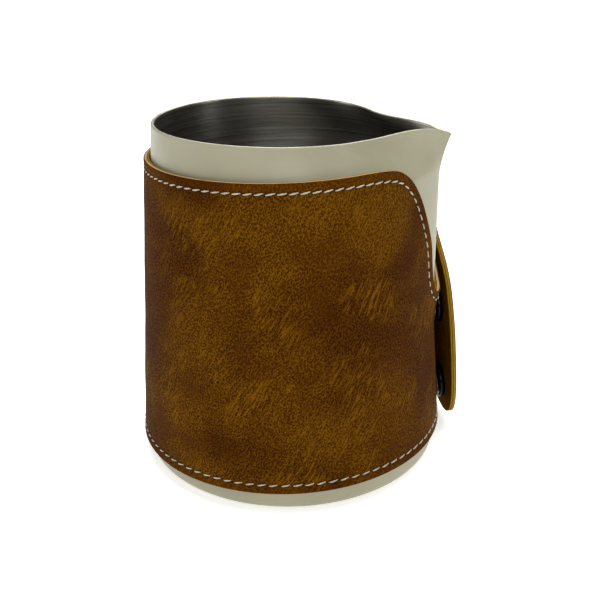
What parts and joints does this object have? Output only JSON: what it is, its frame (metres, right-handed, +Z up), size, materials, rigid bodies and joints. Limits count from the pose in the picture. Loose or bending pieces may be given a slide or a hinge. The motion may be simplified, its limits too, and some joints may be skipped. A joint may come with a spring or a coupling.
{
  "type": "milk frothing pitcher",
  "caption": "Handleless spouted steel milk frothing pitcher in a stitched leather wrap whose flap closes on snap fasteners beside the spout.",
  "frame": {"origin": "centre of the flat underside", "axes": "+Z up through the mouth, +X from the centre towards the tip of the spout, +Y towards the side where the flap folds"},
  "size_m": [0.0996, 0.0944, 0.1003],
  "materials": {
    "cream_painted_steel": "satin cream paint outside, bare brushed steel inside",
    "brown_leather": "mottled, lightly waxed",
    "tan_lining": "matt golden tan",
    "cream_thread": "twisted, waxed",
    "black_enamel": "glossy black",
    "blackened_brass": "blackened"
  },
  "bodies": {
    "pitcher": {"pitcher_body": "cream_painted_steel", "sleeve_outer_leather": "brown_leather", "sleeve_lining": "tan_lining", "sleeve_top_seam_thread": "cream_thread", "sleeve_bottom_seam_thread": "cream_thread", "lower_snap_stud": "blackened_brass", "lower_snap_post": "blackened_brass", "upper_snap_stud": "blackened_brass", "upper_snap_post": "blackened_brass"},
    "flap": {"flap_outer_leather": "brown_leather", "flap_lining": "tan_lining", "flap_seam_thread": "cream_thread", "lower_snap_cap": "black_enamel", "lower_snap_socket": "black_enamel", "lower_snap_ring_spring": "blackened_brass", "upper_snap_cap": "black_enamel", "upper_snap_socket": "black_enamel", "upper_snap_ring_spring": "blackened_brass"}
  },
  "joints": [
    {"name": "flap_fold", "type": "hinge", "parent": "pitcher", "child": "flap", "pos_m": [0.02758, 0.03323, 0.05015], "axis": [-0.0483, -0.0576, 0.9972], "range_deg": [0, 95]}
  ]
}
